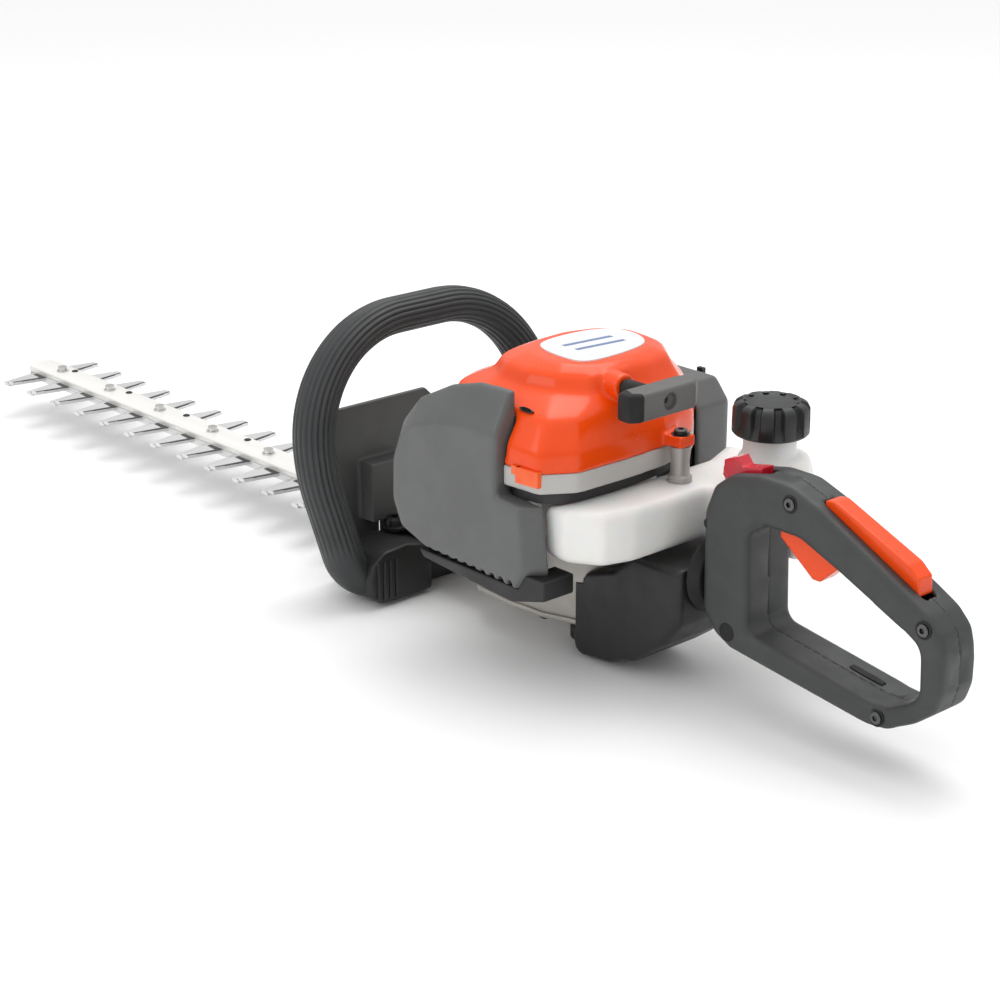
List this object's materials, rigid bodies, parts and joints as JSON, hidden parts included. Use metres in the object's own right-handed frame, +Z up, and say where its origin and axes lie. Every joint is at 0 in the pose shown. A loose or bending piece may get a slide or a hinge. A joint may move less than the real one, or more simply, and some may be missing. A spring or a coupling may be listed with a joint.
{
  "type": "hedge trimmer",
  "caption": "Petrol hedge trimmer with a double-sided cutter bar, loop front handle, hand guard, pull starter and closed rear handle with a throttle trigger.",
  "frame": {"origin": "on the crankshaft's vertical axis, on the flat resting face of the rear skid", "axes": "+X towards the rear handle, -X along the blades, +Z up, -Y the operator's left"},
  "size_m": [0.936, 0.219, 0.192],
  "materials": {
    "bar_metal": "satin extruded",
    "blade_steel": "ground cutting edges",
    "bright_steel": "zinc plated",
    "dark_steel": "machined, oiled",
    "cast_alloy": "die cast",
    "black_plastic": "moulded",
    "dark_plastic": "fine spark-eroded texture",
    "grey_plastic": "fine spark-eroded texture",
    "grip_rubber": "soft moulded",
    "black_rubber": "moulded",
    "orange_plastic": "glossy moulded",
    "light_plastic": "satin moulded",
    "tank_plastic": "translucent white blow moulding",
    "red_plastic": "glossy moulded",
    "rope": "braided",
    "filter_foam": "open cell foam",
    "clear_bulb": "clear soft rubber",
    "black_screw": "black oxide"
  },
  "bodies": {
    "engine_frame": {"guide_bar": "bar_metal", "bar_bolts": "bright_steel", "bar_lock_nuts": "bright_steel", "gear_case": "cast_alloy", "gear_case_cover": "cast_alloy", "clutch_housing": "cast_alloy", "shaft_bearings": "bright_steel", "crankcase_lower": "cast_alloy", "crankcase_upper": "cast_alloy", "cylinder": "cast_alloy", "spark_plug": "bright_steel", "plug_boot": "black_rubber", "muffler": "dark_steel", "ignition_coil": "black_plastic", "recoil_spring": "bright_steel", "starter_housing": "orange_plastic", "fan_housing_band": "light_plastic", "muffler_cover": "grey_plastic", "carburettor": "cast_alloy", "air_filter_base": "black_plastic", "air_filter": "filter_foam", "air_filter_cover": "grey_plastic", "fuel_tank": "tank_plastic", "rear_bracket": "black_plastic", "front_handle": "dark_plastic", "handle_bracket": "black_plastic", "hand_guard": "dark_plastic", "rear_handle_left": "dark_plastic", "rear_handle_right": "dark_plastic", "neck_damper": "black_rubber", "cover_screws": "black_screw"},
    "upper_blade_set": {"upper_blade": "blade_steel", "upper_eccentric": "dark_steel"},
    "lower_blade_set": {"lower_blade": "blade_steel", "lower_eccentric": "dark_steel"},
    "gear_set": {"drive_gear": "dark_steel", "gear_shaft": "dark_steel"},
    "drum_set": {"clutch_drum": "dark_steel", "drive_pinion": "dark_steel"},
    "crank_set": {"crankshaft_lower": "dark_steel", "crankshaft_upper": "dark_steel", "clutch_shoes": "dark_steel", "flywheel": "cast_alloy", "starter_cup": "bright_steel"},
    "piston_set": {"piston": "cast_alloy", "wrist_pin": "bright_steel", "piston_ring": "dark_steel"},
    "rod_set": {"connecting_rod": "dark_steel", "crank_pin": "bright_steel"},
    "pulley_set": {"starter_pulley": "black_plastic", "wound_rope": "rope"},
    "pull_grip": {"starter_handle": "grip_rubber", "starter_rope": "rope"},
    "seal_ring": {"cap_seal": "black_rubber"},
    "cap": {"fuel_cap": "black_plastic"},
    "choke": {"choke_lever": "black_plastic"},
    "primer": {"purge_bulb": "clear_bulb"},
    "trigger": {"throttle_trigger": "orange_plastic"},
    "lockout": {"throttle_lockout": "orange_plastic"},
    "switch": {"stop_switch": "red_plastic"}
  },
  "joints": [
    {"name": "crankshaft_spin", "type": "hinge", "parent": "engine_frame", "child": "crank_set", "pos_m": [0, 0, 0.106], "axis": [0, 0, 1], "continuous": true},
    {"name": "piston_slide", "type": "slide", "parent": "engine_frame", "child": "piston_set", "axis": [1, 0, 0], "range_m": [0, 0.027]},
    {"name": "rod_swing", "type": "hinge", "parent": "piston_set", "child": "rod_set", "pos_m": [-0.0635, 0, 0.106], "axis": [0, 0, 1], "range_deg": [-15.6, 15.6]},
    {"name": "clutch_drum_spin", "type": "hinge", "parent": "engine_frame", "child": "drum_set", "pos_m": [0, 0, 0.055], "axis": [0, 0, 1], "continuous": true},
    {"name": "drive_gear_spin", "type": "hinge", "parent": "engine_frame", "child": "gear_set", "pos_m": [-0.0342, 0, 0.041], "axis": [0, 0, 1], "continuous": true},
    {"name": "upper_blade_slide", "type": "slide", "parent": "engine_frame", "child": "upper_blade_set", "axis": [1, 0, 0], "range_m": [-0.0125, 0.005]},
    {"name": "lower_blade_slide", "type": "slide", "parent": "engine_frame", "child": "lower_blade_set", "axis": [1, 0, 0], "range_m": [-0.005, 0.0125]},
    {"name": "starter_pull", "type": "slide", "parent": "engine_frame", "child": "pull_grip", "axis": [1, 0, 0], "range_m": [0, 0.65], "stiffness_N_per_m": 12, "springref_m": -0.4},
    {"name": "starter_pulley_spin", "type": "hinge", "parent": "engine_frame", "child": "pulley_set", "pos_m": [0, 0, 0.18], "axis": [0, 0, 1], "range_deg": [0, 1380]},
    {"name": "fuel_cap_lift", "type": "slide", "parent": "engine_frame", "child": "seal_ring", "axis": [0, 0, 1], "range_m": [0, 0.06]},
    {"name": "fuel_cap_turn", "type": "hinge", "parent": "seal_ring", "child": "cap", "pos_m": [0.099, 0.043, 0.16], "axis": [0, 0, 1], "range_deg": [0, 360]},
    {"name": "choke_lever_turn", "type": "hinge", "parent": "engine_frame", "child": "choke", "pos_m": [-0.02, 0.108, 0.128], "axis": [0, 1, 0], "range_deg": [0, 75]},
    {"name": "purge_bulb_press", "type": "slide", "parent": "engine_frame", "child": "primer", "axis": [0, -1, 0], "range_m": [0, 0.004], "stiffness_N_per_m": 600, "springref_m": -0.001},
    {"name": "throttle_trigger_pull", "type": "hinge", "parent": "engine_frame", "child": "trigger", "pos_m": [0.158, 0, 0.119], "axis": [0, -1, 0], "range_deg": [0, 12], "stiffness_Nm_per_rad": 0.6, "springref_deg": -8.59},
    {"name": "throttle_lockout_press", "type": "hinge", "parent": "engine_frame", "child": "lockout", "pos_m": [0.186, 0, 0.138], "axis": [0, 1, 0], "range_deg": [0, 5.5], "stiffness_Nm_per_rad": 0.8, "springref_deg": -5.73},
    {"name": "stop_switch_slide", "type": "slide", "parent": "engine_frame", "child": "switch", "axis": [1, 0, 0], "range_m": [0, 0.003], "stiffness_N_per_m": 500, "springref_m": -0.001}
  ],
  "couplings": [
    {"joint": "drive_gear_spin", "follows": "clutch_drum_spin", "ratio": -0.26667},
    {"joint": "lower_blade_slide", "follows": "upper_blade_slide", "ratio": -1},
    {"joint": "starter_pulley_spin", "follows": "starter_pull", "rad_per_m": 37.037}
  ]
}
